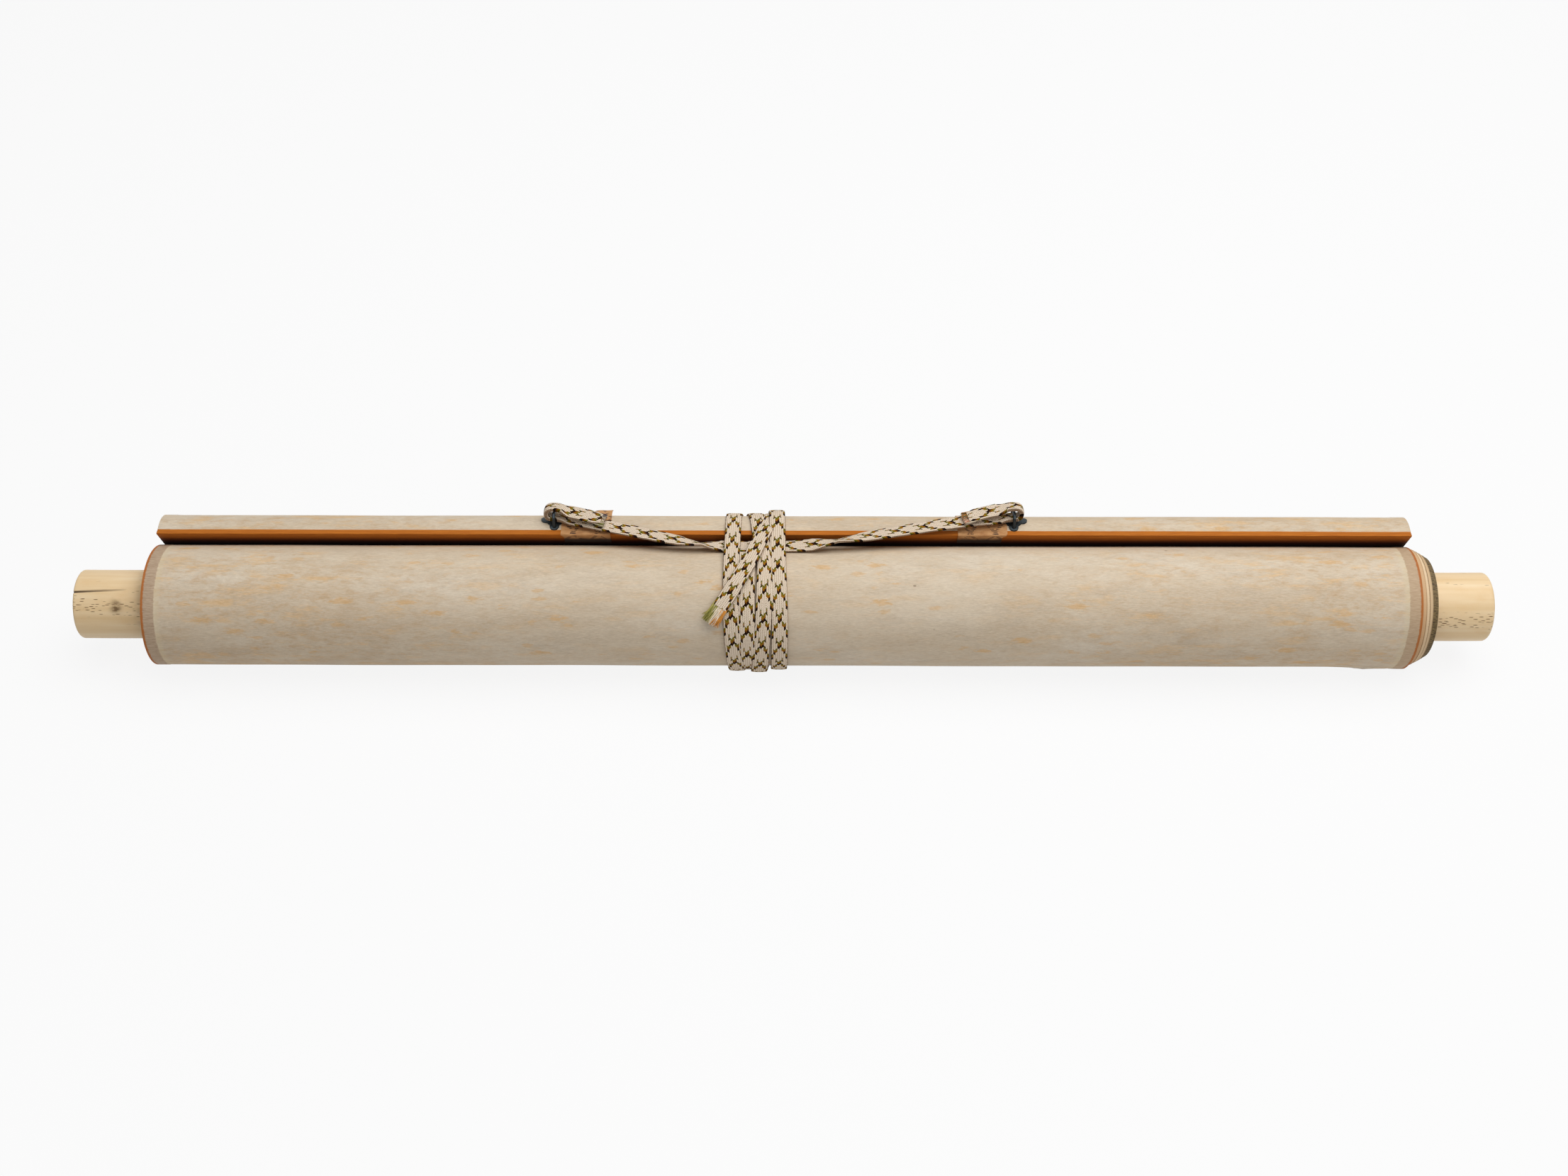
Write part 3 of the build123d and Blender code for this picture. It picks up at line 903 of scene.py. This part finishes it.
def make_fray(name, end, width, length, tints, count, material, droop=0.0, start=0.0):
    """Unravelled threads at a cord's end, dyed by their place across it."""
    origin, ahead, across, outward = end
    points, faces, colours = [], [], []
    sides, steps = 5, 9
    for thread in range(count):
        share = rng.uniform(-1, 1)
        mingled = np.clip((share + rng.normal(0, 0.28) + 1) / 2, 0, 0.999)
        tint = np.clip(np.array(tints[int(mingled * len(tints))][:3]) * rng.uniform(0.7, 1.15), 0, 1)
        reach = length * rng.uniform(0.62, 1.0)
        spread, lift = rng.normal(-0.1 * share, 0.42), rng.normal(0.25, 0.35)
        radius = rng.uniform(0.13, 0.26)
        begin = start + rng.uniform(-1.5, 0.5)
        wave, phase = rng.uniform(0.1, 0.4), rng.uniform(0, tau)
        for step in range(steps):
            part = step / (steps - 1)
            centre = (
                origin
                + ahead * (begin + (reach - begin) * part)
                + across * (share * width / 2 * (0.95 + 0.05 * part) + spread * part**2)
                + across * wave * part * sin(phase + 5 * part)
                + outward * (0.25 + lift * part - droop * part**2 + wave * part * cos(phase + 5 * part))
            )
            for side in range(sides):
                turn = tau * side / sides
                thick = radius * (1 - 0.4 * part)
                points.append(centre + across * thick * cos(turn) + outward * thick * sin(turn))
                colours.append((*tint, 1.0))
        faces += tube_faces(steps, sides, thread * sides * steps)
    fray = add_mesh(name, points, faces, [material])
    add_attribute(fray, "tint", "FLOAT_COLOR", colours)
    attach(fray, "root")
    return fray


def make_hanging_cord(braid, fibre):
    """Flat cord from eye to eye, looped round each eye, with its unravelled ends laid back along it."""
    route = (
        (-79.0, 8.3, 17.4),
        (-87.6, 10.4, 16.9),
        (-93.8, 11.8, 16.6),
        (-98.8, 14.1, 15.9),
        (-103.4, 13.7, 15.3),
        (-103.6, 10.7, 11.9),
        (-98.8, 10.5, 11.7),
        (-93.4, 9.2, 13.4),
        (-81.3, 6.7, 15.0),
        (-42.0, -2.2, 18.4),
        (-29.0, -3.5, 15.6),
        (6.0, -3.5, 15.6),
        (19.0, -2.2, 18.4),
        (80.0, 8.6, 15.2),
        (93.4, 9.8, 13.5),
        (98.6, 10.7, 11.9),
        (103.2, 10.9, 12.1),
        (103.2, 14.2, 15.8),
        (98.4, 14.6, 16.4),
        (93.4, 12.8, 17.0),
        (87.0, 11.6, 17.4),
        (79.5, 9.4, 17.8),
    )
    metres = []
    for x, out, near in route:
        y, z = stave_point(out, near)
        metres.append((x * MM, y * MM, (z + axis_height) * MM))
    places = spline_points("hanging_cord_line", metres, 24)
    x = places[:, 0] / MM
    facing = np.radians(np.interp(
        x,
        (-102, -90, -80, -60, -46, -36, -27, 3, 12, 23, 36, 60, 80, 90, 102),
        (96, 100, 100, 92, 84, 52, 92, 92, 100, 52, 84, 92, 100, 100, 96),
    ))
    index = np.arange(len(x))
    back = (index < np.argmin(x)) | (index > np.argmax(x))
    outward = np.stack([np.zeros_like(x), np.cos(facing), np.sin(facing)], -1)
    outward *= np.where(back, -1.0, 1.0)[:, None]
    fold = np.cross(np.array([0, -sin(eye_angle), cos(eye_angle)]), directions(places))
    gathered = smooth_step(np.abs(x), 92, 97)
    loop = gathered[:, None]
    outward = outward * (1 - loop) + fold * loop
    cord, right_end, left_end = make_ribbon(
        "hanging_cord_braid", places, outward, cord_width - 0.9 * gathered, cord_thickness + 1.0 * gathered,
        braid, ends=(0.8, 0.8),
    )
    left_tints = (
        srgb(78, 76, 92), srgb(222, 204, 178), srgb(112, 74, 48), srgb(216, 198, 174), srgb(124, 128, 44),
    )
    right_tints = (
        srgb(84, 100, 60), srgb(190, 130, 66), srgb(222, 206, 180), srgb(206, 150, 122), srgb(214, 198, 172),
    )
    frays = [
        make_fray("hanging_cord_left_fray", left_end, cord_width, 2.0, left_tints, 90, fibre, start=-11.0),
        make_fray("hanging_cord_right_fray", right_end, cord_width, 2.5, right_tints, 90, fibre, start=-12.0),
    ]
    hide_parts("hanging_cord")


def wrap_point(run, lift):
    """Y and Z of a point on a band round the roll and the stave, after a run from the roll's crown."""
    narrowing = cover_radius - roll_radius
    spread = acos(-narrowing / stave_seat)
    straight = sqrt(stave_seat**2 - narrowing**2)
    roll_arc = roll_radius * (tau - 2 * spread)
    stave_arc = cover_radius * 2 * spread
    first, last = stave_angle + spread, stave_angle - spread
    run %= roll_arc + stave_arc + 2 * straight
    if run < roll_arc:
        share, lean = 0, first + run / roll_radius
    elif run < roll_arc + straight:
        share, lean = (run - roll_arc) / straight, last
    elif run < roll_arc + straight + stave_arc:
        share, lean = 1, last + (run - roll_arc - straight) / cover_radius
    else:
        share, lean = 1 - (run - roll_arc - straight - stave_arc) / straight, first
    seat_y, seat_z = stave_point(0, 0)
    radius = roll_radius + narrowing * share + lift
    return seat_y * share + radius * cos(lean), seat_z * share + radius * sin(lean)


def unwound(rows):
    """Runs along the tie and the values there, from rows of a turn, a run within it and a value."""
    turn_length = 185.5
    turns, runs, values = np.array(rows, float).T
    return turns * turn_length + runs, values


def make_tie(braid, fibre):
    """Tie wound round the roll and the stave, its end drawn under the last turn and laid across the front."""
    layer = tie_thickness + 0.06
    paper_gap = 0.17
    places_along = (
        (0, -6, -15.8), (0, 25, -15.8), (0, 61, -15.6), (0, 82, -15.5), (0, 151, -21.8),
        (1, 0, -22.6), (1, 25, -22.5), (1, 61, -20.2), (1, 82, -22.2), (1, 151, -12.6),
        (2, 1, -8.0), (2, 25, -8.7), (2, 61, -11.0), (2, 82, -8.7), (2, 151, -3.2),
        (3, 0, -2.6), (3, 25, -1.7), (3, 61, -2.2), (3, 82, -1.8), (3, 148, -4.2),
        (3, 160, -6.0), (4, 1, -14.6), (4, 14, -22.6), (4, 20, -27.2),
    )
    lifts_along = (
        (0, -6, 0), (0, 185, 0), (1, 40, 0), (1, 61, 0.4), (1, 80, 0), (1, 92, 1), (1, 140, 1), (1, 150, 0),
        (2, 40, 0), (2, 58, 0.9), (2, 78, 0), (2, 100, 1), (2, 160, 1), (2, 176, 0),
        (3, 160, 0), (3, 176, 1.6), (4, 20, 1.6),
    )
    runs, shifts = unwound(places_along)
    levels, lifts = unwound(lifts_along)
    route = []
    count = int((runs[-1] - runs[0]) / 5.2)
    for run in np.linspace(runs[0], runs[-1], count):
        x = np.interp(run, runs, shifts)
        lift = np.interp(run, levels, lifts)
        y, z = wrap_point(run, paper_gap + tie_thickness / 2 + layer * lift)
        z = max(z, tie_pressed / 2 + 0.05 - axis_height)
        route.append((x * MM, y * MM, (z + axis_height) * MM))
    places = spline_points("tie_line", route, 6)
    outward = np.cross(directions(places), np.array([1.0, 0, 0]))
    outward /= np.linalg.norm(outward, axis=1, keepdims=True)
    height = places[:, 2] / MM
    thickness = tie_pressed + (tie_thickness - tie_pressed) * smooth_step(height, 0.5, 1.6)
    tie, end, _ = make_ribbon("tie_braid", places, outward, tie_width, thickness, braid, ends=(1.0, 0.92))
    cream = srgb(226, 208, 182)
    ochre, olive, leaf = srgb(206, 138, 54), srgb(124, 122, 50), srgb(172, 160, 92)
    tints = (ochre, ochre, cream, srgb(236, 222, 200), cream, leaf, olive, leaf)
    fray = make_fray("tie_fray", end, tie_width, 8.3, tints, 260, fibre, droop=1.8)
    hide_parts("tie_cord", "tie_cord_tail")


def patch_line():
    """Line of a guard patch, from under the lip over the pocket's near edge to the stave's crown.

    Each row is a place and a normal, as in lip_line.
    """
    lip = lip_line(14)
    lip_out, lip_near, face_out, face_near = lip[0]
    rows = []
    for near in np.linspace(6.5, lip_near - 0.4, 6):
        rows.append((lip_out * (near - flat_hinge) / (lip_near - flat_hinge), near, face_out, face_near))
    rows += lip
    for turn in np.linspace(acos(lip_height / cover_radius), radians(4), 20)[1:]:
        rows.append((cover_radius * cos(turn), cover_radius * sin(turn), cos(turn), sin(turn)))
    return np.array(rows)


def make_patch(name, side, material):
    """Paper patch folded over the stave's near edge, with a worn corner and the left one's curled."""
    low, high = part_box(name)
    first, last = low.x / MM, high.x / MM
    thickness, gap, columns = 0.3, 0.12, 26
    left_wear, right_wear, curl = (1.2, 0.0, 2.1) if side < 0 else (0.0, 2.2, 0.0)
    line = patch_line()
    run = line_run(line[:, :2])
    outer, inner, prints = [], [], []
    for (out, near, face_out, face_near), along in zip(line, run):
        share = along / run[-1]
        trim_left = left_wear * smooth_step(share, 0.3, 0.22)
        trim_right = right_wear * smooth_step(share, 0.32, 0.24)
        for part in np.linspace(0, 1, columns):
            place = first + trim_left + part * (last - first - trim_left - trim_right)
            lift = gap + 0.06 * sin(place * 0.9 + along * 0.5)
            lift += curl * smooth_step(share, 0.62, 0.96) * smooth_step(part, 0.15, 0.8)
            for reach, rows in ((lift + thickness, outer), (lift, inner)):
                rows.append((place, *stave_point(out + face_out * reach, near + face_near * reach)))
            prints.append((place - first, along, 0))
    faces = sum(slab_faces(len(line), columns), [])
    patch = add_mesh(name + "_paper", outer + inner, faces, [material])
    add_attribute(patch, "print", "FLOAT_VECTOR", prints * 2)
    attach(patch, "root")
    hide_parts(name)


def dress_node(name, material):
    """Give a CAD node that stays in view its own material."""
    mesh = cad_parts[name].data
    mesh.materials.clear()
    mesh.materials.append(material)


make_camera()
make_light()
make_floor()
braid = braid_material()
fibre = fibre_material()
make_hanging_cord(braid, fibre)
make_tie(braid, fibre)
make_sheet([paper_material(), silk_material(), rim_material()])
bone = bone_material()
make_knob("left_knob", -1, bone)
make_knob("right_knob", 1, bone)
patch_paper = patch_material()
make_patch("left_guard_patch", -1, patch_paper)
make_patch("right_guard_patch", 1, patch_paper)
wood = wood_material()
metal = metal_material()
for node in ("roller_core", "top_stave"):
    dress_node(node, wood)
for node in ("left_eyelet_plate", "right_eyelet_plate", "left_eyelet_staple", "right_eyelet_staple"):
    dress_node(node, metal)
